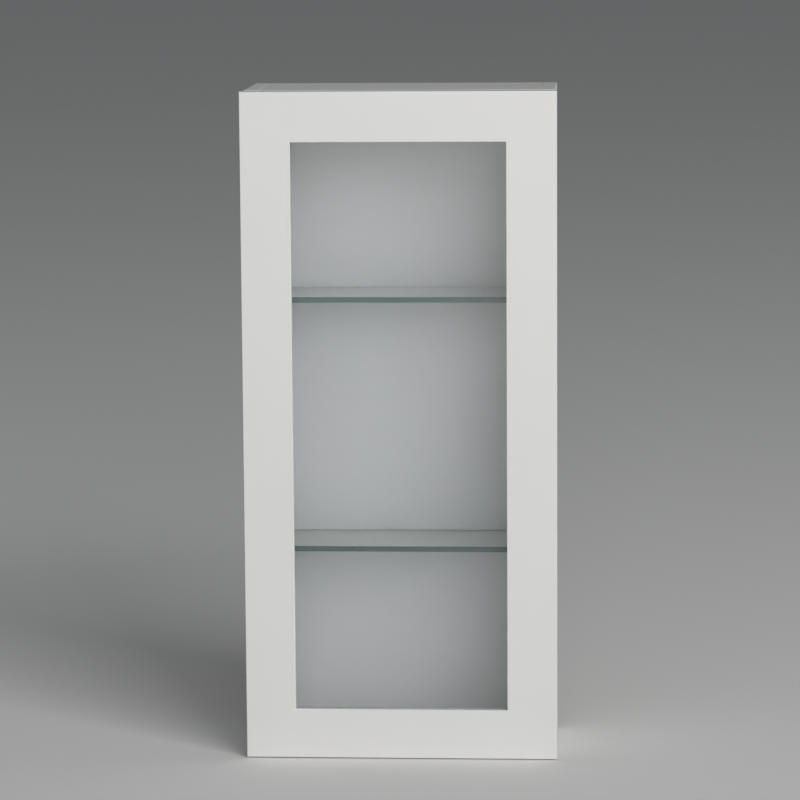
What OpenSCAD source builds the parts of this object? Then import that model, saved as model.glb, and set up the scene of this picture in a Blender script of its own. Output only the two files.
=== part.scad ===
// Wall-hung bathroom cabinet with one framed glass door and two glass shelves.
// Millimetres. X to the right, Y into the wall (front faces -Y), Z up.
// The origin is on the wall, in the middle of the four wall screw holes.

/* [Overall size] */
// Width of the door, the widest part
width = 350; // [280:1:500]
// Height of the cabinet
height = 750; // [550:1:950]
// Depth from the wall to the front of the door
depth = 160; // [130:1:260]

/* [Cabinet] */
// Thickness of the side, top and bottom boards
board_t = 16; // [12:1:22]
// Thickness of the back panel
back_t = 4; // [3:0.5:6]
// Height of each fixing rail behind the back panel
rail_h = 60; // [45:1:90]
// Radius of each wall screw hole
wall_hole_r = 2.75; // [2:0.25:4]
// How far the door stands out past each side of the cabinet
door_overhang = 3; // [2.5:0.5:6]

/* [Door] */
// Thickness of the door frame
door_t = 18; // [16:1:24]
// Width of the stiles and rails
frame_w = 56; // [46:1:80]
// Thickness of the door pane
pane_t = 4; // [3:1:5]
// Thickness of the lip in front of the pane
lip_t = 7.5; // [5:0.5:10]
// Gap between the cabinet and the closed door
door_gap = 2.5; // [2.5:0.1:4]

/* [Shelves] */
// Thickness of each glass shelf
shelf_t = 6; // [5:1:8]
// Height of the upper shelf as a share of the cabinet's height
upper_share = 0.688; // [0.55:0.002:0.8]
// Height of the lower shelf as a share of the cabinet's height
lower_share = 0.312; // [0.2:0.002:0.45]
// Space between the front edge of a shelf and the front of the cabinet
shelf_setback = 10; // [8:1:30]

/* [Fittings] */
// Length of each hinge
hinge_l = 60; // [50:5:80]
// Distance from the end of the cabinet to the middle of a hinge
hinge_in = 100; // [80:5:160]
// Travel of the latch plunger when it is pressed
latch_travel = 3; // [2:0.5:4]

/* [Hidden] */
$fn = 48;
e = 0.05;                                   // half clearance of a glued or pushed-in piece

// cabinet
cab_w = width - 2 * door_overhang;
cab_d = depth - door_t - door_gap;
out_x = cab_w / 2;
in_x = out_x - board_t;
top_z = height / 2;
in_z = top_z - board_t;
back_y = board_t + back_t;                  // front face of the back panel, from the wall
groove = 6;
wall_x = in_x - 16;                         // wall screw holes
wall_z = in_z - rail_h / 2;

// cam joints and dowels
cam_in = 24;
cam_r = 7.5;
cam_deep = board_t / 2 + 4.5;
joint_z = top_z - board_t / 2;
cam_ys = [-0.4 * cab_d, -0.75 * cab_d];
dowel_r = 4;
dowel_l = 30;
dowel_side = board_t - 6;
dowel_ys = [-back_y - 14, -cab_d + 13];

// shelves
shelf_x = in_x - 1.5;
shelf_back = -back_y - 1.5;
shelf_front = -cab_d + shelf_setback;
upper_z = upper_share * height - top_z;
lower_z = lower_share * height - top_z;
pin_r = 2.5;
sleeve_r = 3.5;
pin_ys = [shelf_back - 28, shelf_front + 20];
pin_drop = shelf_t / 2 + sleeve_r;

// door
door_w = width;
door_h = height - 0.4;                      // all but flush with the cabinet, top and bottom
door_y = -cab_d - door_gap;                 // back face of the door
front_y = -depth;
open_x = door_w / 2 - frame_w;
open_z = door_h / 2 - frame_w;
rebate = 9;
seal_t = 1;
pane_y = front_y + lip_t + seal_t;          // front face of the pane
pane_lap = 8;
bead_y = pane_y + pane_t;
bead_t = door_y - bead_y;
bead_pin_r = 0.127 * bead_t;                // so that the pins stay inside the beads

// hinges, on the left
leaf_t = (door_gap - 0.1) / 2;
knuckle_r = 2.6;
hinge_pin_r = 1.3;
hinge_x = -door_w / 2 + 0.2;
hinge_y = -cab_d - door_gap / 2;
leaf_in = -out_x + board_t - 1.5;           // inner edge of the leaves
knuckles = 5;
knuckle_l = hinge_l / knuckles;
hinge_z = top_z - hinge_in;
leaf_screws = [-hinge_l / 3, 0, hinge_l / 3];

// latch, on the right
latch_x = in_x - 9;
plunger_r = 4;
plate_t = 1;
tip_y = door_y + plate_t + 0.3;             // end of the plunger, just clear of the strike plate
plunger_l = 40;
latch_front = -cab_d + 2.5;
latch_back = tip_y + plunger_l + 18;

module box_at(x0, x1, y0, y1, z0, z1)
    translate([x0, y0, z0]) cube([x1 - x0, y1 - y0, z1 - z0]);

module along_x(x0, x1, y, z, r)
    translate([x0, y, z]) rotate([0, 90, 0]) cylinder(r = r, h = x1 - x0);

module along_y(x, y0, y1, z, r)
    translate([x, y1, z]) rotate([90, 0, 0]) cylinder(r = r, h = y1 - y0);

// countersunk wood screw with its head flush at the origin, pointing along +Z
module screw(length, r = 1.25, head_r = 2.4) {
    difference() {
        cylinder(r1 = head_r, r2 = r, h = head_r - r);
        translate([0, 0, -0.01]) cylinder(r = 0.4 * head_r, h = 0.6 * (head_r - r), $fn = 4);
    }
    translate([0, 0, head_r - r - 0.01]) cylinder(r = r, h = length - 1.5 - head_r + r);
    translate([0, 0, length - 1.51]) cylinder(r1 = r, r2 = 0.3, h = 1.51);
}

// the hole that fits the screw above
module screw_hole(length, r = 1.25, head_r = 2.4) {
    translate([0, 0, -1]) cylinder(r = head_r + e, h = 1.001);
    cylinder(r1 = head_r + e, r2 = r + e, h = head_r - r);
    cylinder(r = r + e, h = length + 0.3);
}

// both ends of a top or bottom board: s = 1 is the top
module each_cam(s)
    for (x = [-1, 1], y = cam_ys) translate([x * (in_x - cam_in), y, s * in_z]) children();

module groove_side()
    box_at(in_x - 0.01, in_x + groove, -back_y - e, -board_t + e, -in_z - groove, in_z + groove);

// ---- cabinet ----

module side_panel(side) {
    difference() {
        box_at(in_x, out_x, -cab_d, 0, -top_z, top_z);
        groove_side();
        for (s = [-1, 1]) {
            for (y = dowel_ys)
                along_x(in_x - 1, in_x + dowel_side + 0.5, y, s * joint_z, dowel_r + e);
            for (y = cam_ys) along_x(in_x - 1, in_x + 11.5, y, s * joint_z, 2.5 + e);
            for (z = [-rail_h / 4, rail_h / 4])
                along_x(in_x - 1, in_x + dowel_side + 0.5, -board_t / 2, s * wall_z + z, dowel_r + e);
        }
        for (y = pin_ys, z = [upper_z, lower_z], k = [-32, 0, 32])
            along_x(in_x - 1, in_x + 8.5, y, z - pin_drop + k, pin_r + e);
        if (side < 0) for (s = [-1, 1], z = leaf_screws)
            translate([out_x - board_t / 2, -cab_d - leaf_t, s * hinge_z + z])
                rotate([-90, 0, 0]) screw_hole(15);
        if (side > 0) for (s = [-1, 1])
            translate([in_x - 2, latch_screw_y(s), s * 9.5]) rotate([0, 90, 0]) screw_hole(12);
    }
}

module side_panel_left() color("white") mirror([1, 0, 0]) side_panel(-1);
module side_panel_right() color("white") side_panel(1);

// board between the sides; the bottom board is its mirror image
module end_board() {
    difference() {
        box_at(-in_x, in_x, -cab_d, 0, in_z, top_z);
        box_at(-in_x - 1, in_x + 1, -back_y - e, -board_t + e, in_z - 1, in_z + groove);
        for (x = [-1, 1]) {
            for (y = dowel_ys)
                along_x(x > 0 ? in_x - dowel_l + dowel_side - 0.5 : -in_x - 1,
                    x > 0 ? in_x + 1 : -in_x + dowel_l - dowel_side + 0.5, y, joint_z, dowel_r + e);
            for (y = cam_ys)
                along_x(x > 0 ? in_x - cam_in : -in_x - 1,
                    x > 0 ? in_x + 1 : -in_x + cam_in, y, joint_z, 3.8);
        }
        each_cam(1) translate([0, 0, -1]) cylinder(r = cam_r + e, h = cam_deep + 1);
    }
}

module top_panel() color("white") end_board();
module bottom_panel() color("white") mirror([0, 0, 1]) end_board();

module back_panel() color("white") difference() {
    box_at(-in_x - groove + 0.5, in_x + groove - 0.5, -back_y, -board_t,
        -in_z - groove + 0.5, in_z + groove - 0.5);
    for (x = [-1, 1], z = [-1, 1]) along_y(x * wall_x, -back_y - 1, 0, z * wall_z, wall_hole_r);
}

module fixing_rail() difference() {
    box_at(-in_x, in_x, -board_t, 0, in_z - rail_h, in_z);
    for (x = [-1, 1]) along_y(x * wall_x, -board_t - 1, 1, wall_z, wall_hole_r);
    for (x = [0, 1], z = [-rail_h / 4, rail_h / 4])
        mirror([x, 0, 0]) along_x(in_x - dowel_l + dowel_side - 0.5, in_x + 1,
            -board_t / 2, wall_z + z, dowel_r + e);
}

module fixing_rail_upper() color("burlywood") fixing_rail();
module fixing_rail_lower() color("burlywood") mirror([0, 0, 1]) fixing_rail();

module dowel(y, z) {
    l = dowel_l - 2;
    translate([in_x + dowel_side - dowel_l, y, z]) rotate([0, 90, 0]) {
        cylinder(r1 = dowel_r - 1, r2 = dowel_r, h = 1);
        translate([0, 0, 1]) cylinder(r = dowel_r, h = l);
        translate([0, 0, 1 + l]) cylinder(r1 = dowel_r, r2 = dowel_r - 1, h = 1);
    }
}

module panel_dowels() color("tan")
    for (x = [0, 1], y = dowel_ys, z = [-1, 1]) mirror([x, 0, 0]) dowel(y, z * joint_z);

module rail_dowels() color("tan")
    for (x = [0, 1], z = [-1, 1], k = [-rail_h / 4, rail_h / 4])
        mirror([x, 0, 0]) dowel(-board_t / 2, z * wall_z + k);

// threaded end in the side board, neck and round head caught in the cam
module cam_bolts() color("silver")
    for (x = [0, 1], y = cam_ys, z = [-1, 1]) mirror([x, 0, 0]) {
        along_x(in_x - 0.01, in_x + 11, y, z * joint_z, 2.5);
        along_x(in_x - 2, in_x, y, z * joint_z, 3.5);
        along_x(in_x - cam_in + 3, in_x - 1.99, y, z * joint_z, 2);
        along_x(in_x - cam_in - 0.5, in_x - cam_in + 3.01, y, z * joint_z, 3);
    }

// drum with a slot for the bolt head and a cross recess that faces into the cabinet
module cam_housings() color("gray")
    for (s = [0, 1]) mirror([0, 0, s]) each_cam(1) difference() {
        cylinder(r = cam_r, h = cam_deep - 0.2);
        translate([0, 0, joint_z - in_z]) {
            cube([11, 8, 6.6], center = true);
            for (a = [0, 180]) rotate([0, 0, a]) translate([0, -2.3, -2.3]) cube([12, 4.6, 4.6]);
        }
        for (a = [0, 90]) rotate([0, 0, a]) translate([0, 0, 0.6]) cube([6, 1.4, 2.4], center = true);
    }

module cam_caps() color("white")
    for (s = [0, 1]) mirror([0, 0, s]) each_cam(1) {
        translate([0, 0, -1.2]) cylinder(r = cam_r + 1, h = 1.2);
        translate([0, 0, 0.4]) for (a = [0, 90]) rotate([0, 0, a]) cube([5.4, 1, 1], center = true);
    }

// ---- shelves ----

module shelf_pins(z) color("silver")
    for (x = [0, 1], y = pin_ys) mirror([x, 0, 0]) {
        along_x(in_x - 9, in_x + 8, y, z - pin_drop, pin_r);
        along_x(in_x - 0.8, in_x, y, z - pin_drop, pin_r + 1.5);
    }
module shelf_pins_upper() shelf_pins(upper_z);
module shelf_pins_lower() shelf_pins(lower_z);

module shelf_sleeves(z) color("whitesmoke")
    for (x = [0, 1], y = pin_ys) mirror([x, 0, 0]) difference() {
        along_x(in_x - 8.8, in_x - 1, y, z - pin_drop, sleeve_r);
        along_x(in_x - 9, in_x, y, z - pin_drop, pin_r + 0.02);
    }
module shelf_sleeves_upper() shelf_sleeves(upper_z);
module shelf_sleeves_lower() shelf_sleeves(lower_z);

module glass_shelf(z) color("lightcyan") difference() {
    r = 4;
    box_at(-shelf_x, shelf_x, shelf_front, shelf_back, z - shelf_t / 2, z + shelf_t / 2);
    for (x = [0, 1]) mirror([x, 0, 0]) difference() {
        box_at(shelf_x - r, shelf_x + 1, shelf_front - 1, shelf_front + r, z - shelf_t, z + shelf_t);
        translate([shelf_x - r, shelf_front + r, z - shelf_t]) cylinder(r = r, h = 2 * shelf_t);
    }
}
module glass_shelf_upper() glass_shelf(upper_z);
module glass_shelf_lower() glass_shelf(lower_z);

// ---- door ----

module door_frame() color("white") difference() {
    box_at(-door_w / 2, door_w / 2, front_y, door_y, -door_h / 2, door_h / 2);
    box_at(-open_x, open_x, front_y - 1, door_y + 1, -open_z, open_z);
    box_at(-open_x - rebate, open_x + rebate, front_y + lip_t, door_y + 1,
        -open_z - rebate, open_z + rebate);
    for (s = [-1, 1]) {
        translate([hinge_x, hinge_y, s * hinge_z - hinge_l / 2 - 1.5])
            cylinder(r = knuckle_r + 0.4, h = hinge_l + 3);
        for (z = leaf_screws) translate([door_screw_x(), door_y + leaf_t, s * hinge_z + z])
            rotate([90, 0, 0]) screw_hole(13);
        translate([latch_x, door_y + plate_t, s * 7.5]) rotate([90, 0, 0]) screw_hole(10);
    }
    pin_places() screw_hole(13, bead_pin_r, 2 * bead_pin_r);
}

module ring(x_in, z_in, w, y0, y1) difference() {
    box_at(-x_in - w, x_in + w, y0, y1, -z_in - w, z_in + w);
    box_at(-x_in, x_in, y0 - 1, y1 + 1, -z_in, z_in);
}

module glass_seal() color("gray")
    ring(open_x + 1, open_z + 1, pane_lap - 1.5, front_y + lip_t, pane_y);

module door_glass() color("lightcyan")
    box_at(-open_x - pane_lap, open_x + pane_lap, pane_y, bead_y, -open_z - pane_lap, open_z + pane_lap);

// one side of the bead ring, cut at 45 degrees at both ends
module bead(long_half, across) {
    w = rebate - 1.2;
    a = across + 1;
    rotate([90, 0, 0]) translate([0, 0, -door_y]) linear_extrude(height = bead_t)
        polygon([[-long_half - 1, a], [long_half + 1, a], [long_half + 1 + w, a + w],
            [-long_half - 1 - w, a + w]]);
}
module bead_cut() difference() {
    children();
    pin_places() screw_hole(13, bead_pin_r, 2 * bead_pin_r);
}
module glazing_bead_top() color("white") bead_cut() bead(open_x, open_z);
module glazing_bead_bottom() color("white") bead_cut() rotate([0, 180, 0]) bead(open_x, open_z);
module glazing_bead_left() color("white") bead_cut() rotate([0, -90, 0]) bead(open_z, open_x);
module glazing_bead_right() color("white") bead_cut() rotate([0, 90, 0]) bead(open_z, open_x);

// where the bead pins start: on the inner face of each bead, pointing into the frame
module pin_places() {
    y = bead_y + bead_t / 2;
    for (s = [0, 180]) rotate([0, s, 0]) {
        for (k = [-0.85, -0.3, 0.3, 0.85])
            translate([open_x + 1, y, k * open_z]) rotate([0, 90, 0]) children();
        for (k = [-0.6, 0.6]) translate([k * open_x, y, open_z + 1]) children();
    }
}
module glazing_pins() color("silver") pin_places() screw(13, bead_pin_r, 2 * bead_pin_r);

module door_buffers() color("whitesmoke")
    for (s = [-1, 1]) along_y(out_x - board_t / 2, door_y, door_y + door_gap - 0.4,
        s * (top_z - 20), 4);

// ---- hinges ----

function door_screw_x() = leaf_in - 6;

// rank 0 carries the odd knuckles and goes on the cabinet, rank 1 carries the even ones
module hinge_leaf(s, rank) color("silver") {
    y0 = rank == 0 ? -cab_d - leaf_t : door_y;
    difference() {
        union() {
            difference() {
                box_at(hinge_x, leaf_in, y0, y0 + leaf_t, s * hinge_z - hinge_l / 2,
                    s * hinge_z + hinge_l / 2);
                for (i = [0 : knuckles - 1]) if (i % 2 != rank)
                    translate([hinge_x, hinge_y, s * hinge_z - hinge_l / 2 + i * knuckle_l - 0.15])
                        cylinder(r = knuckle_r + 0.4, h = knuckle_l + 0.3);
            }
            for (i = [0 : knuckles - 1]) if (i % 2 == rank)
                translate([hinge_x, hinge_y, s * hinge_z - hinge_l / 2 + i * knuckle_l + 0.1])
                    cylinder(r = knuckle_r, h = knuckle_l - 0.2);
        }
        translate([hinge_x, hinge_y, s * hinge_z - hinge_l])
            cylinder(r = hinge_pin_r + e, h = 2 * hinge_l);
        for (z = leaf_screws) if (rank == 0)
            translate([-out_x + board_t / 2, y0, s * hinge_z + z]) rotate([-90, 0, 0]) screw_hole(15);
        else
            translate([door_screw_x(), y0 + leaf_t, s * hinge_z + z]) rotate([90, 0, 0]) screw_hole(13);
    }
}
module hinge_upper_cabinet_leaf() hinge_leaf(1, 0);
module hinge_upper_door_leaf() hinge_leaf(1, 1);
module hinge_lower_cabinet_leaf() hinge_leaf(-1, 0);
module hinge_lower_door_leaf() hinge_leaf(-1, 1);

module hinge_pin(s) color("silver")
    translate([hinge_x, hinge_y, s * hinge_z - hinge_l / 2 - 0.6]) {
        cylinder(r = hinge_pin_r, h = hinge_l + 0.8);
        for (z = [-0.6, hinge_l + 0.6]) translate([0, 0, z]) cylinder(r = 2.1, h = 1.2);
    }
module hinge_upper_pin() hinge_pin(1);
module hinge_lower_pin() hinge_pin(-1);

module hinge_cabinet_screws() color("silver") for (s = [-1, 1], z = leaf_screws)
    translate([-out_x + board_t / 2, -cab_d - leaf_t, s * hinge_z + z]) rotate([-90, 0, 0]) screw(15);

module hinge_door_screws() color("silver") for (s = [-1, 1], z = leaf_screws)
    translate([door_screw_x(), door_y + leaf_t, s * hinge_z + z]) rotate([90, 0, 0]) screw(13);

// ---- push-to-open latch ----

function latch_screw_y(s) = s > 0 ? latch_front + 12 : latch_back - 8;

module latch_body() color("lightgray") difference() {
    union() {
        along_y(latch_x, latch_front, latch_back, 0, plunger_r + 2.2);
        box_at(in_x - 2, in_x, latch_front + 4, latch_back, -14, 14);
        box_at(latch_x, in_x - 1, latch_front + 4, latch_back, -4, 4);
    }
    along_y(latch_x, latch_front - 1, latch_back - 3, 0, plunger_r + 0.1);
    for (s = [-1, 1]) translate([in_x - 2, latch_screw_y(s), s * 9.5])
        rotate([0, 90, 0]) screw_hole(12);
}

module latch_plunger() color("gainsboro") difference() {
    along_y(latch_x, tip_y, tip_y + plunger_l, 0, plunger_r);
    along_y(latch_x, tip_y - 1, tip_y + 3, 0, 2.5 + e);
    along_y(latch_x, tip_y + plunger_l - 8, tip_y + plunger_l + 1, 0, 3.4);
}

module latch_magnet() color("silver") along_y(latch_x, tip_y + 0.1, tip_y + 3, 0, 2.5);

// coil between the blind end of the body and the floor of the plunger's rear bore
module latch_spring() color("silver") {
    y0 = tip_y + plunger_l - 8 + latch_travel + 0.1;
    y1 = latch_back - 3;
    turns = 8;
    pitch = (y1 - y0 - 0.8) / turns;
    for (i = [0 : turns]) translate([latch_x, y0 + 0.4 + i * pitch, 0]) rotate([90, 0, 0])
        rotate_extrude() translate([2.6, 0]) circle(r = 0.4, $fn = 12);
    for (a = [0 : turns - 1]) translate([latch_x, y0 + 0.4 + a * pitch, 0])
        rotate([0, a % 2 * 180, 0]) translate([2.6, 0, 0]) rotate([-90, 0, 0])
            cylinder(r = 0.35, h = pitch, $fn = 12);
}

module latch_screws() color("silver") for (s = [-1, 1])
    translate([in_x - 2, latch_screw_y(s), s * 9.5]) rotate([0, 90, 0]) screw(12);

module strike_plate() color("silver") difference() {
    box_at(latch_x - 6, latch_x + 6, door_y, door_y + plate_t, -11.5, 11.5);
    for (s = [-1, 1]) translate([latch_x, door_y + plate_t, s * 7.5])
        rotate([90, 0, 0]) screw_hole(10);
}

module strike_screws() color("silver") for (s = [-1, 1])
    translate([latch_x, door_y + plate_t, s * 7.5]) rotate([90, 0, 0]) screw(10);

side_panel_left();
side_panel_right();
top_panel();
bottom_panel();
back_panel();
fixing_rail_upper();
fixing_rail_lower();
panel_dowels();
rail_dowels();
cam_bolts();
cam_housings();
cam_caps();
shelf_pins_upper();
shelf_pins_lower();
shelf_sleeves_upper();
shelf_sleeves_lower();
glass_shelf_upper();
glass_shelf_lower();
door_frame();
glass_seal();
door_glass();
glazing_bead_left();
glazing_bead_right();
glazing_bead_top();
glazing_bead_bottom();
glazing_pins();
hinge_upper_cabinet_leaf();
hinge_upper_door_leaf();
hinge_upper_pin();
hinge_lower_cabinet_leaf();
hinge_lower_door_leaf();
hinge_lower_pin();
hinge_cabinet_screws();
hinge_door_screws();
latch_body();
latch_plunger();
latch_magnet();
latch_spring();
latch_screws();
strike_plate();
strike_screws();
door_buffers();
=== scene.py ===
from math import cos, radians, sin

import bmesh
import bpy
from mathutils import Matrix, Vector


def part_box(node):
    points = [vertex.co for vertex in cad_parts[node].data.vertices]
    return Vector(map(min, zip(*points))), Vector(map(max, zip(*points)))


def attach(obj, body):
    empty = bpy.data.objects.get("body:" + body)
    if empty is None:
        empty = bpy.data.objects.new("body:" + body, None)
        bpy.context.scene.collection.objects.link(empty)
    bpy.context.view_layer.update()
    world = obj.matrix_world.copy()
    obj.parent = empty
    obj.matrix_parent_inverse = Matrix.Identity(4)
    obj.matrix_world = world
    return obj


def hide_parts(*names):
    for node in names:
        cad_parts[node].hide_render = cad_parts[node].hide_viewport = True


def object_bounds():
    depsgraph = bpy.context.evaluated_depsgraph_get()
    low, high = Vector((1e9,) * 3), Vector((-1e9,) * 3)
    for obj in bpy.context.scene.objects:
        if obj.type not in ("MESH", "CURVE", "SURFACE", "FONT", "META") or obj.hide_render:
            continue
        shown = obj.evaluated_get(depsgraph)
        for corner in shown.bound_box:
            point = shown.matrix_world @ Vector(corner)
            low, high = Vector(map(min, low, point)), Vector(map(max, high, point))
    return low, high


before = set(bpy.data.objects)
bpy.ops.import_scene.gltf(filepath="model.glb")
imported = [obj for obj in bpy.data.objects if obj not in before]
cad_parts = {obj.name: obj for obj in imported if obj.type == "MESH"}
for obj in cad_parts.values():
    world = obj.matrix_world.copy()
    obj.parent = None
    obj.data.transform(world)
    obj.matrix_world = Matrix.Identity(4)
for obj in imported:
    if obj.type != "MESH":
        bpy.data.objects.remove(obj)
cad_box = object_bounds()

# ---------------------------------------------------------------------------
# Camera
# A long lens a little to the right of the cabinet and above its top, turned
# slightly down, so the top board shows as a thin band over the door.
# ---------------------------------------------------------------------------
MM = 0.001
camera_place = Vector((258, -4194, 610)) * MM
camera_yaw = radians(3.65)
camera_pitch = radians(-8.13)
camera_roll = radians(0.40)

lens = bpy.data.cameras.new("view")
lens.sensor_width = 36
lens.lens = 165.5
lens.clip_end = 100
camera = bpy.data.objects.new("view", lens)
camera.matrix_world = (
    Matrix.Translation(camera_place)
    @ Matrix.Rotation(camera_yaw, 4, "Z")
    @ Matrix.Rotation(radians(90) + camera_pitch, 4, "X")
    @ Matrix.Rotation(-camera_roll, 4, "Z")
)
bpy.context.scene.collection.objects.link(camera)
bpy.context.scene.camera = camera
bpy.context.scene.view_settings.view_transform = "Standard"

# ---------------------------------------------------------------------------
# Floor
# A plain pale floor just under the cabinet that runs back to the horizon.
# It is matt and has no pattern that could be taken for part of the object.
# ---------------------------------------------------------------------------
floor_drop = 1 * MM
floor_half = 40.0
floor_cloud = 900 * MM


def linear(hex_colour):
    """An sRGB hex colour as the linear values that shaders use."""
    parts = [int(hex_colour[i : i + 2], 16) / 255 for i in (1, 3, 5)]
    return [p / 12.92 if p <= 0.04045 else ((p + 0.055) / 1.055) ** 2.4 for p in parts] + [1.0]


def add(material, kind, inputs=None, **settings):
    """Adds a node. Settings are its properties. An input is a value, or a node or socket to link."""
    node = material.node_tree.nodes.new("ShaderNode" + kind)
    for name, value in settings.items():
        setattr(node, name, value)
    for name, value in (inputs or {}).items():
        socket = next(s for s in node.inputs if s.enabled and s.name == name)
        if isinstance(value, bpy.types.Node):
            value = next(s for s in value.outputs if s.enabled)
        if isinstance(value, bpy.types.NodeSocket):
            material.node_tree.links.new(value, socket)
        else:
            socket.default_value = value
    return node


def new_material(name):
    """A node material with nothing in it, and the place on the object that its patterns read."""
    material = bpy.data.materials.new(name)
    material.use_nodes = True
    material.node_tree.nodes.clear()
    return material, add(material, "TexCoord").outputs["Object"]


floor_paint, place = new_material("pale matt floor paint")
cloud = add(floor_paint, "TexNoise", {"Vector": place, "Scale": 1 / floor_cloud})
tone = add(floor_paint, "Mix", {"Factor": cloud, "A": linear("#F4F4F2"), "B": linear("#F7F7F5")},
           data_type="RGBA")
paint = add(floor_paint, "BsdfPrincipled",
            {"Base Color": tone, "Roughness": 0.9, "Specular IOR Level": 0.2})
add(floor_paint, "OutputMaterial", {"Surface": paint})

shape = bmesh.new()
bmesh.ops.create_grid(shape, x_segments=2, y_segments=2, size=floor_half)
bmesh.ops.translate(shape, verts=shape.verts, vec=(0, 0, cad_box[0][2] - floor_drop))
floor_mesh = bpy.data.meshes.new("floor")
shape.to_mesh(floor_mesh)
shape.free()
floor_mesh.materials.append(floor_paint)
floor = bpy.data.objects.new("floor", floor_mesh)
bpy.context.scene.collection.objects.link(floor)

# ---------------------------------------------------------------------------
# Light
# A wide soft box high on the right, another one almost straight in front, and
# an even pale surrounding. The right stile shades its end of the back.
# ---------------------------------------------------------------------------
sky_colour = "#F2F5F8"
sky_strength = 0.15
lit_point = Vector((0, (cad_box[0][1] + cad_box[1][1]) / 2, 0))   # the middle of the depth


def soft_box(name, across, up, away, width, height, watts, colour="#FFFFFF"):
    """A rectangular area light, placed by its angles to the right of and above the straight-on view."""
    across, up = radians(across), radians(up)
    aim = Vector((sin(across) * cos(up), -cos(across) * cos(up), sin(up)))
    light = bpy.data.lights.new(name, "AREA")
    light.shape = "RECTANGLE"
    light.size, light.size_y = width, height
    light.energy = watts
    light.color = linear(colour)[:3]
    lamp = bpy.data.objects.new(name, light)
    lamp.visible_camera = False
    lamp.matrix_world = (
        Matrix.Translation(lit_point + aim * away) @ aim.to_track_quat("Z", "Y").to_matrix().to_4x4()
    )
    bpy.context.scene.collection.objects.link(lamp)


sky = bpy.data.worlds.new("studio")
sky.use_nodes = True
sky.node_tree.nodes["Background"].inputs["Color"].default_value = linear(sky_colour)
sky.node_tree.nodes["Background"].inputs["Strength"].default_value = sky_strength
bpy.context.scene.world = sky
soft_box("key", across=34, up=27, away=8, width=4.6, height=2.8, watts=310)
soft_box("front", across=8, up=10, away=12, width=4.5, height=3.4, watts=350)

# ---------------------------------------------------------------------------
# Cabinet boards
# The sides, top and bottom are 16 mm fibreboard, sprayed with white satin
# lacquer after cutting, so every long edge has a small soft arris.
# ---------------------------------------------------------------------------
board_arris = 0.6 * MM
long_edge = 40 * MM       # edges of the boards are longer than this, those of holes are shorter
sharp_turn = radians(50)  # an edge that turns more than this is an outside corner
flat_turn = radians(0.5)  # and one that turns less lies in a flat face
square_on = 0.9999        # a face with this much of its normal along an axis is square to it
facing = 0.9              # and with this much it looks that way
meeting = 0.002 * MM      # corners nearer than this are one corner
peel_size = 3 * MM        # orange peel is nearer 1.5 mm: drawn coarser so that it shows
peel_depth = 0.03 * MM
rub_size = 70 * MM

# Sprayed and rubbed down: a faint orange peel and small cloudy changes in gloss.
lacquer, place = new_material("white satin lacquer on fibreboard")
peel = add(lacquer, "TexNoise", {"Vector": place, "Scale": 1 / peel_size, "Detail": 1.0})
rub = add(lacquer, "TexNoise", {"Vector": place, "Scale": 1 / rub_size, "Detail": 3.0})
tone = add(lacquer, "Mix", {"Factor": rub, "A": linear("#EFEEED"), "B": linear("#F3F2F1")},
           data_type="RGBA")
gloss = add(lacquer, "MapRange", {"Value": rub, "To Min": 0.34, "To Max": 0.46})
relief = add(lacquer, "Bump", {"Height": peel, "Distance": peel_depth, "Strength": 0.6})
paint = add(lacquer, "BsdfPrincipled",
            {"Base Color": tone, "Roughness": gloss, "Normal": relief, "IOR": 1.5})
add(lacquer, "OutputMaterial", {"Surface": paint})


def cleaned(node):
    """A bmesh copy of a CAD node with its triangles joined into flat faces."""
    shape = bmesh.new()
    shape.from_mesh(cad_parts[node].data)
    bmesh.ops.remove_doubles(shape, verts=shape.verts, dist=meeting)
    bmesh.ops.dissolve_limit(
        shape, angle_limit=flat_turn, verts=shape.verts, edges=shape.edges,
        use_dissolve_boundaries=False, delimit={"NORMAL"},
    )
    return shape


def soften(shape, radius, shortest, segments=3):
    """Rounds every outside edge that is longer than shortest."""
    outside = [
        e for e in shape.edges
        if len(e.link_faces) == 2 and e.calc_length() > shortest
        and e.is_convex and e.calc_face_angle() > sharp_turn
    ]
    bmesh.ops.bevel(
        shape, geom=outside, offset=radius, offset_type="OFFSET", affect="EDGES",
        segments=segments, profile=0.5, material=-1, clamp_overlap=False,
    )


def piece_from(shape, name, materials, body, slot, *nodes, smooth_under=40):
    """Makes a piece from a bmesh that rides on a body in place of CAD nodes.

    Faces that lie square to an axis stay flat, the round ones between them are smooth."""
    mesh = bpy.data.meshes.new(name)
    shape.to_mesh(mesh)
    shape.free()
    if "custom_normal" in mesh.attributes:
        mesh.attributes.remove(mesh.attributes["custom_normal"])
    mesh.set_sharp_from_angle(angle=radians(smooth_under))
    for face in mesh.polygons:
        face.use_smooth = max(abs(part) for part in face.normal) < square_on
    for material in materials:
        mesh.materials.append(material)
    piece = bpy.data.objects.new(name, mesh)
    bpy.context.scene.collection.objects.link(piece)
    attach(piece, body)
    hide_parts(*nodes)


for node in ("side_panel_left", "side_panel_right", "top_panel", "bottom_panel"):
    shape = cleaned(node)
    soften(shape, board_arris, long_edge)
    piece_from(shape, "lacquered_" + node, [lacquer], "cabinet", "white_board", node)

# ---------------------------------------------------------------------------
# Back panel
# 4 mm hardboard in grooves in the boards. Its front is faced with smooth white
# paint, its rear is bare brown board with the print of the pressing screen.
# ---------------------------------------------------------------------------
fibre_size = 2.5 * MM
fibre_relief = 0.02 * MM
paint_drift = 120 * MM
mottle_size = 6 * MM
dent_depth = 0.2 * MM
screen_pitch = 2.4 * MM   # the print of the screen is nearer 1.2 mm: drawn coarser so that it shows
wave_repeat = 0.314       # a wave pattern of scale 1 repeats after this length

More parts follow.
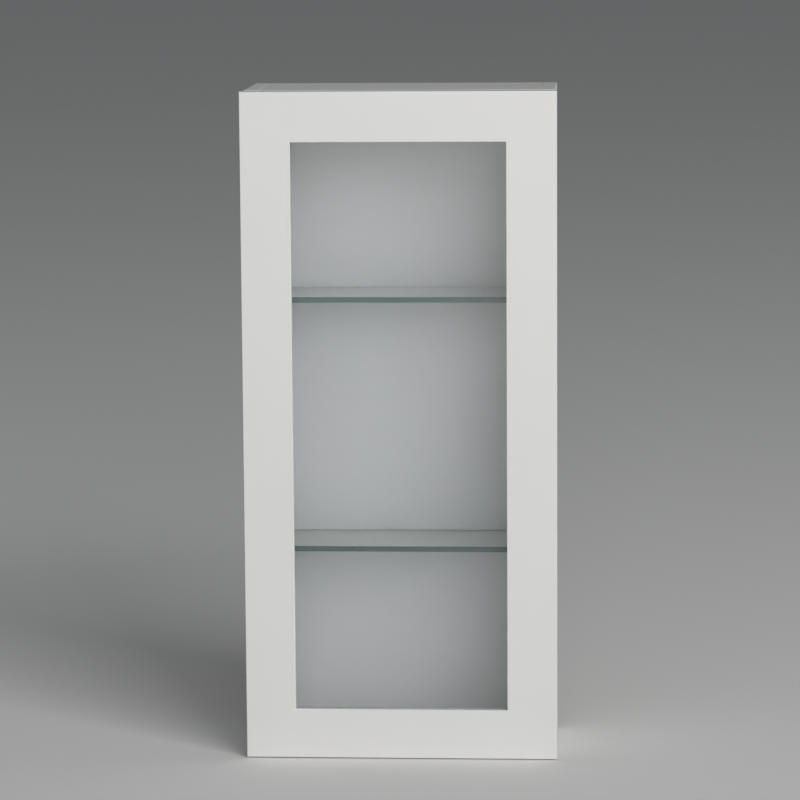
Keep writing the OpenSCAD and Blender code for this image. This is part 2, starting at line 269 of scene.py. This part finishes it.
# Painted on a roller line: flat, slightly cool, with the faint grain of fibres under it.
back_face, place = new_material("white roller paint on hardboard")
fibre = add(back_face, "TexNoise", {"Vector": place, "Scale": 1 / fibre_size, "Detail": 4.0})
drift = add(back_face, "TexNoise", {"Vector": place, "Scale": 1 / paint_drift})
tone = add(back_face, "Mix", {"Factor": drift, "A": linear("#F0F0F2"), "B": linear("#F4F4F6")},
           data_type="RGBA")
gloss = add(back_face, "MapRange", {"Value": fibre, "To Min": 0.42, "To Max": 0.52})
relief = add(back_face, "Bump", {"Height": fibre, "Distance": fibre_relief, "Strength": 0.4})
paint = add(back_face, "BsdfPrincipled",
            {"Base Color": tone, "Roughness": gloss, "Normal": relief, "IOR": 1.5})
add(back_face, "OutputMaterial", {"Surface": paint})

# Wet-pressed on wire mesh: dark tan, matt, with a regular pattern of small dents.
screen_side, place = new_material("bare hardboard, screen side")
mottle = add(screen_side, "TexNoise", {"Vector": place, "Scale": 1 / mottle_size, "Detail": 5.0})
tone = add(screen_side, "Mix", {"Factor": mottle, "A": linear("#7A5638"), "B": linear("#9A7350")},
           data_type="RGBA")
waves = [
    add(screen_side, "TexWave", {"Vector": place, "Scale": wave_repeat / screen_pitch},
        bands_direction=direction)
    for direction in ("X", "Z")
]
dents = add(screen_side, "Mix", {"Factor": 1.0, "A": waves[0], "B": waves[1]},
            data_type="RGBA", blend_type="MULTIPLY")
relief = add(screen_side, "Bump", {"Height": dents, "Distance": dent_depth, "Strength": 0.7})
board = add(screen_side, "BsdfPrincipled",
            {"Base Color": tone, "Roughness": 0.82, "Normal": relief, "IOR": 1.45})
add(screen_side, "OutputMaterial", {"Surface": board})

shape = cleaned("back_panel")
for face in shape.faces:
    face.material_index = 0 if face.normal.y < -facing else 1
piece_from(shape, "faced_back_panel", [back_face, screen_side], "cabinet", "back_board", "back_panel")

# ---------------------------------------------------------------------------
# Door frame
# Cut in one piece from 18 mm fibreboard and sprayed like the cabinet, with a
# finer rub-down on the front. All its outside edges have an arris of about 1 mm.
# ---------------------------------------------------------------------------
door_arris = 0.9 * MM
door_peel_size = 4 * MM
door_rub_size = 90 * MM

# The same lacquer with a longer, shallower peel and an evener gloss. Its colour is drawn darker than on
# the boards: painted shade that holds the lit front down against the interior behind the glass.
door_lacquer_painted_shade, place = new_material("white satin lacquer, flatted door front, painted shade")
peel = add(door_lacquer_painted_shade, "TexNoise", {"Vector": place, "Scale": 1 / door_peel_size, "Detail": 1.0})
rub = add(door_lacquer_painted_shade, "TexNoise", {"Vector": place, "Scale": 1 / door_rub_size, "Detail": 3.0})
# painted shade: these whites are darker than the boards' #EFEEED to #F3F2F1, though the door is sprayed
# with the same lacquer
tone = add(door_lacquer_painted_shade, "Mix", {"Factor": rub, "A": linear("#DCDBDA"), "B": linear("#E0DFDE")},
           data_type="RGBA")
gloss = add(door_lacquer_painted_shade, "MapRange", {"Value": rub, "To Min": 0.38, "To Max": 0.48})
relief = add(door_lacquer_painted_shade, "Bump", {"Height": peel, "Distance": peel_depth, "Strength": 0.5})
paint = add(door_lacquer_painted_shade, "BsdfPrincipled",
            {"Base Color": tone, "Roughness": gloss, "Normal": relief, "IOR": 1.5})
add(door_lacquer_painted_shade, "OutputMaterial", {"Surface": paint})

shape = cleaned("door_frame")
soften(shape, door_arris, long_edge)
piece_from(shape, "lacquered_door_frame", [door_lacquer_painted_shade], "door", "door_paint", "door_frame")

# ---------------------------------------------------------------------------
# Door pane
# 4 mm clear float glass. Its faces are flat to a few microns, so only the
# faintest wave shows in reflections, and it is green only through its edge.
# ---------------------------------------------------------------------------
float_wave = 140 * MM
wave_depth = 0.01 * MM


def give(material, *nodes):
    """Gives CAD nodes whose shape is right their finished material."""
    for node in nodes:
        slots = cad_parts[node].data.materials
        slots.clear()
        slots.append(material)


clear_pane, place = new_material("clear float glass, 4 mm")
wave = add(clear_pane, "TexNoise", {"Vector": place, "Scale": 1 / float_wave, "Detail": 0.0})
tone = add(clear_pane, "Mix", {"Factor": wave, "A": linear("#FCFEFD"), "B": linear("#FEFFFF")},
           data_type="RGBA")
relief = add(clear_pane, "Bump", {"Height": wave, "Distance": wave_depth, "Strength": 0.1})
glass = add(clear_pane, "BsdfPrincipled",
            {"Base Color": tone, "Roughness": 0.0, "Transmission Weight": 1.0, "Normal": relief,
             "IOR": 1.52})
add(clear_pane, "OutputMaterial", {"Surface": glass})
give(clear_pane, "door_glass")

# ---------------------------------------------------------------------------
# Seal, beads and pins of the pane
# A thin translucent silicone bed, four white mitred plastic beads, and small
# steel pins that hold the beads in the rebate.
# ---------------------------------------------------------------------------
bead_round = 1.1 * MM
round_strip = 1.2 * MM    # clear of the pin holes, so that the rounding is even from end to end
bead_arris = 0.4 * MM
touching = 0.01 * MM
cure_size = 8 * MM
bead_skin = 1.2 * MM
bead_drift = 50 * MM
plating_grain = 0.8 * MM
tarnish_size = 6 * MM

# Run from a gun and cut back: milky, softly shining.
silicone, place = new_material("translucent silicone")
cure = add(silicone, "TexNoise", {"Vector": place, "Scale": 1 / cure_size})
tone = add(silicone, "Mix", {"Factor": cure, "A": linear("#D4D7D6"), "B": linear("#DDE0DF")},
           data_type="RGBA")
rubber = add(silicone, "BsdfPrincipled", {"Base Color": tone, "Roughness": 0.35, "IOR": 1.41})
add(silicone, "OutputMaterial", {"Surface": rubber})
give(silicone, "glass_seal")

# Extruded through a polished die: even colour, with a fine changing gloss.
bead_plastic, place = new_material("white extruded PVC")
skin = add(bead_plastic, "TexNoise", {"Vector": place, "Scale": 1 / bead_skin, "Detail": 2.0})
drift = add(bead_plastic, "TexNoise", {"Vector": place, "Scale": 1 / bead_drift})
tone = add(bead_plastic, "Mix", {"Factor": drift, "A": linear("#EAEAE8"), "B": linear("#EFEFED")},
           data_type="RGBA")
gloss = add(bead_plastic, "MapRange", {"Value": skin, "To Min": 0.28, "To Max": 0.4})
plastic = add(bead_plastic, "BsdfPrincipled", {"Base Color": tone, "Roughness": gloss, "IOR": 1.53})
add(bead_plastic, "OutputMaterial", {"Surface": plastic})
for side, across in (("left", 0), ("right", 0), ("top", 2), ("bottom", 2)):
    node = "glazing_bead_" + side
    shape = cleaned(node)
    inner = min(abs(v.co[across]) for v in shape.verts) + touching
    back = max(v.co.y for v in shape.verts)
    bmesh.ops.bisect_plane(
        shape, geom=shape.verts[:] + shape.edges[:] + shape.faces[:],
        plane_co=(0, back - round_strip, 0), plane_no=(0, 1, 0),
    )
    strip = [
        f for f in shape.faces
        if all(abs(v.co[across]) < inner and v.co.y > back - round_strip - touching for v in f.verts)
    ]
    bmesh.ops.dissolve_faces(shape, faces=strip, use_verts=True)
    seen_edge = [
        e for e in shape.edges
        if all(abs(v.co[across]) < inner and v.co.y > back - touching for v in e.verts)
    ]
    bmesh.ops.bevel(
        shape, geom=seen_edge, offset=bead_round, offset_type="OFFSET", affect="EDGES",
        segments=6, profile=0.5, material=-1, clamp_overlap=False,
    )
    soften(shape, bead_arris, long_edge)
    piece_from(shape, "rounded_" + node, [bead_plastic], "door", "bead_plastic", node)

# Barrel plated over a drawn surface: bright, a little warm, with a soft changing gloss.
nickel, place = new_material("nickel plated steel")
plating = add(nickel, "TexNoise", {"Vector": place, "Scale": 1 / plating_grain, "Detail": 3.0})
tarnish = add(nickel, "TexNoise", {"Vector": place, "Scale": 1 / tarnish_size})
tone = add(nickel, "Mix", {"Factor": tarnish, "A": linear("#BDBAB4"), "B": linear("#CCCAC5")},
           data_type="RGBA")
gloss = add(nickel, "MapRange", {"Value": plating, "To Min": 0.2, "To Max": 0.36})
metal = add(nickel, "BsdfPrincipled", {"Base Color": tone, "Metallic": 1.0, "Roughness": gloss})
add(nickel, "OutputMaterial", {"Surface": metal})
give(nickel, "glazing_pins")

# ---------------------------------------------------------------------------
# Glass shelves
# 6 mm float glass. Light that enters the long way leaves at the edges: the
# polished front is dark green, the ground back and sides are milky.
# ---------------------------------------------------------------------------
polish = 0.5 * MM
grind_size = 3 * MM
grit_size = 1.5 * MM
forward = 0.1             # the front edge and its two narrow bevels look at least this much forward

clear_shelf, place = new_material("clear float glass, 6 mm")
wave = add(clear_shelf, "TexNoise", {"Vector": place, "Scale": 1 / float_wave, "Detail": 0.0})
tone = add(clear_shelf, "Mix", {"Factor": wave, "A": linear("#F1F9F5"), "B": linear("#F5FBF8")},
           data_type="RGBA")
relief = add(clear_shelf, "Bump", {"Height": wave, "Distance": wave_depth, "Strength": 0.1})
glass = add(clear_shelf, "BsdfPrincipled",
            {"Base Color": tone, "Roughness": 0.0, "Transmission Weight": 1.0, "Normal": relief,
             "IOR": 1.52})
add(clear_shelf, "OutputMaterial", {"Surface": glass})

# The green comes from iron in the glass, seen through the whole depth of the shelf.
shelf_edge, place = new_material("polished edge of float glass")
grind = add(shelf_edge, "TexNoise", {"Vector": place, "Scale": 1 / grind_size, "Detail": 3.0})
tone = add(shelf_edge, "Mix", {"Factor": grind, "A": linear("#556E6A"), "B": linear("#607A76")},
           data_type="RGBA")
gloss = add(shelf_edge, "MapRange", {"Value": grind, "To Min": 0.08, "To Max": 0.18})
glass = add(shelf_edge, "BsdfPrincipled", {"Base Color": tone, "Roughness": gloss, "IOR": 1.52})
add(shelf_edge, "OutputMaterial", {"Surface": glass})

# Rubbed down on a wet belt and left matt: the green shows only through a pale bloom.
ground_edge, place = new_material("ground edge of float glass")
grit = add(ground_edge, "TexNoise", {"Vector": place, "Scale": 1 / grit_size, "Detail": 3.0})
tone = add(ground_edge, "Mix", {"Factor": grit, "A": linear("#A3B3AE"), "B": linear("#B0BFBA")},
           data_type="RGBA")
gloss = add(ground_edge, "MapRange", {"Value": grit, "To Min": 0.5, "To Max": 0.65})
glass = add(ground_edge, "BsdfPrincipled", {"Base Color": tone, "Roughness": gloss, "IOR": 1.52})
add(ground_edge, "OutputMaterial", {"Surface": glass})

for level in ("upper", "lower"):
    node = "glass_shelf_" + level
    shape = cleaned(node)
    rims = [e for e in shape.edges if {abs(f.normal.z) > facing for f in e.link_faces} == {True, False}]
    bmesh.ops.bevel(
        shape, geom=rims, offset=polish, offset_type="OFFSET", affect="EDGES",
        segments=1, profile=0.5, material=-1, clamp_overlap=False,
    )
    shape.normal_update()
    for face in shape.faces:
        if abs(face.normal.z) > facing:
            face.material_index = 0
        else:
            face.material_index = 1 if face.normal.y < -forward else 2
    piece_from(shape, "polished_" + node, [clear_shelf, shelf_edge, ground_edge], "cabinet",
               "shelf_glass", node, smooth_under=30)

# ---------------------------------------------------------------------------
# Shelf pins, sleeves and door buffers
# Nickel plated steel pins in clear soft sleeves that the glass lies on, and
# clear stick-on domes that keep the door off the side board.
# ---------------------------------------------------------------------------
buffer_foot = 0.5 * MM
dome_turns = range(0, 91, 10)   # degrees up the dome, from its foot to its top
pin_arris = 0.25 * MM
haze_size = 4 * MM

clear_vinyl, place = new_material("clear soft vinyl")
haze = add(clear_vinyl, "TexNoise", {"Vector": place, "Scale": 1 / haze_size})
tone = add(clear_vinyl, "Mix", {"Factor": haze, "A": linear("#E8EDEC"), "B": linear("#F1F5F4")},
           data_type="RGBA")
vinyl = add(clear_vinyl, "BsdfPrincipled",
            {"Base Color": tone, "Roughness": 0.15, "Transmission Weight": 0.75, "IOR": 1.45})
add(clear_vinyl, "OutputMaterial", {"Surface": vinyl})
give(clear_vinyl, "shelf_sleeves_upper", "shelf_sleeves_lower")
for node in ("shelf_pins_upper", "shelf_pins_lower"):
    shape = cleaned(node)
    soften(shape, pin_arris, 0)
    piece_from(shape, "rounded_" + node, [nickel], "cabinet", "steel", node)

low, high = (Vector(corner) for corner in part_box("door_buffers"))
buffer_r = (high.x - low.x) / 2
dome = high.y - low.y - buffer_foot
outline = [(0, 0), (buffer_r, 0)] + [
    (buffer_r * cos(radians(turn)), buffer_foot + dome * sin(radians(turn))) for turn in dome_turns
]
shape = bmesh.new()
for z in (low.z + buffer_r, high.z - buffer_r):
    middle = Vector((low.x + buffer_r, low.y, z))
    points = [shape.verts.new(middle + Vector((out, rise, 0))) for out, rise in outline]
    edges = [shape.edges.new(pair) for pair in zip(points, points[1:])]
    bmesh.ops.spin(
        shape, geom=points + edges, cent=middle, axis=(0, 1, 0), angle=radians(360),
        steps=40, use_merge=True,
    )
bmesh.ops.remove_doubles(shape, verts=shape.verts, dist=touching)
bmesh.ops.recalc_face_normals(shape, faces=shape.faces)
piece_from(shape, "domed_door_buffers", [clear_vinyl], "door", "clear_rubber", "door_buffers")

# ---------------------------------------------------------------------------
# Hinges
# Flush hinges pressed from nickel plated strip, rolled round a steel pin, and
# fixed with countersunk screws.
# ---------------------------------------------------------------------------
for level in ("upper", "lower"):
    for part in ("cabinet_leaf", "door_leaf", "pin"):
        give(nickel, "hinge_%s_%s" % (level, part))
give(nickel, "hinge_cabinet_screws", "hinge_door_screws")

# ---------------------------------------------------------------------------
# Push-to-open latch
# A light grey moulded body with a plunger of the same plastic, a small magnet
# in its tip, a steel spring, and a plated strike plate on the door.
# ---------------------------------------------------------------------------
body_arris = 0.5 * MM
plunger_arris = 0.3 * MM
grain_size = 0.6 * MM
grain_depth = 0.02 * MM
moulding_drift = 20 * MM

# Moulded against a fine spark-eroded face: even, matt, with a slight grain.
latch_plastic, place = new_material("light grey moulded ABS")
grain = add(latch_plastic, "TexNoise", {"Vector": place, "Scale": 1 / grain_size, "Detail": 2.0})
drift = add(latch_plastic, "TexNoise", {"Vector": place, "Scale": 1 / moulding_drift})
tone = add(latch_plastic, "Mix", {"Factor": drift, "A": linear("#C6C8C9"), "B": linear("#D0D2D3")},
           data_type="RGBA")
gloss = add(latch_plastic, "MapRange", {"Value": grain, "To Min": 0.42, "To Max": 0.56})
relief = add(latch_plastic, "Bump", {"Height": grain, "Distance": grain_depth, "Strength": 0.5})
plastic = add(latch_plastic, "BsdfPrincipled",
              {"Base Color": tone, "Roughness": gloss, "Normal": relief, "IOR": 1.53})
add(latch_plastic, "OutputMaterial", {"Surface": plastic})
for node, body, arris in (
    ("latch_body", "cabinet", body_arris),
    ("latch_plunger", "plunger", plunger_arris),
):
    shape = cleaned(node)
    soften(shape, arris, 0)
    piece_from(shape, "moulded_" + node, [latch_plastic], body, "latch_plastic", node)
give(nickel, "latch_magnet", "latch_spring", "latch_screws", "strike_plate", "strike_screws")

# ---------------------------------------------------------------------------
# Fixing rails and dowels
# The rails that carry the wall screws are planed pine, and the round dowels are
# the same wood. Both are bare and show only from the back or taken apart.
# ---------------------------------------------------------------------------
ring_width = 7 * MM
pore_width = 0.9 * MM
pore_depth = 0.1 * MM
along_grain = 1 / 20      # so the grain is drawn out twenty times along the rails

# Planed along the grain: pale straw with darker late wood, drawn out along the rail.
pine, place = new_material("planed pine")
drawn = add(pine, "Mapping", {"Vector": place, "Scale": (along_grain, 1, 1)})
rings = add(pine, "TexNoise", {"Vector": drawn, "Scale": 1 / ring_width, "Detail": 3.0})
bands = add(pine, "MapRange", {"Value": rings, "From Min": 0.35, "From Max": 0.65})
pores = add(pine, "TexNoise", {"Vector": drawn, "Scale": 1 / pore_width, "Detail": 4.0})
tone = add(pine, "Mix", {"Factor": bands, "A": linear("#C19A68"), "B": linear("#E0C79C")},
           data_type="RGBA")
gloss = add(pine, "MapRange", {"Value": pores, "To Min": 0.55, "To Max": 0.75})
relief = add(pine, "Bump", {"Height": pores, "Distance": pore_depth, "Strength": 0.5})
wood = add(pine, "BsdfPrincipled",
           {"Base Color": tone, "Roughness": gloss, "Normal": relief, "IOR": 1.5})
add(pine, "OutputMaterial", {"Surface": wood})
give(pine, "fixing_rail_upper", "fixing_rail_lower", "panel_dowels", "rail_dowels")

# ---------------------------------------------------------------------------
# Cam fittings
# Die-cast zinc drums with plated bolts, under white snap-in caps.
# ---------------------------------------------------------------------------
cap_rim = 0.4 * MM
cast_size = 1 * MM
flow_size = 10 * MM

# Straight from the die: dull grey with a fine cast skin.
zinc, place = new_material("die-cast zinc")
skin = add(zinc, "TexNoise", {"Vector": place, "Scale": 1 / cast_size, "Detail": 3.0})
tone = add(zinc, "Mix", {"Factor": skin, "A": linear("#8E9092"), "B": linear("#A3A5A7")},
           data_type="RGBA")
gloss = add(zinc, "MapRange", {"Value": skin, "To Min": 0.45, "To Max": 0.6})
metal = add(zinc, "BsdfPrincipled", {"Base Color": tone, "Metallic": 1.0, "Roughness": gloss})
add(zinc, "OutputMaterial", {"Surface": metal})
give(zinc, "cam_housings")
give(nickel, "cam_bolts")

# Moulded thin: plain white, waxy, matt.
cap_plastic, place = new_material("white moulded polypropylene")
flow = add(cap_plastic, "TexNoise", {"Vector": place, "Scale": 1 / flow_size})
tone = add(cap_plastic, "Mix", {"Factor": flow, "A": linear("#E6E6E3"), "B": linear("#ECECEA")},
           data_type="RGBA")
plastic = add(cap_plastic, "BsdfPrincipled", {"Base Color": tone, "Roughness": 0.45, "IOR": 1.49})
add(cap_plastic, "OutputMaterial", {"Surface": plastic})
shape = cleaned("cam_caps")
soften(shape, cap_rim, 0)
piece_from(shape, "rounded_cam_caps", [cap_plastic], "cabinet", "cap_plastic", "cam_caps")
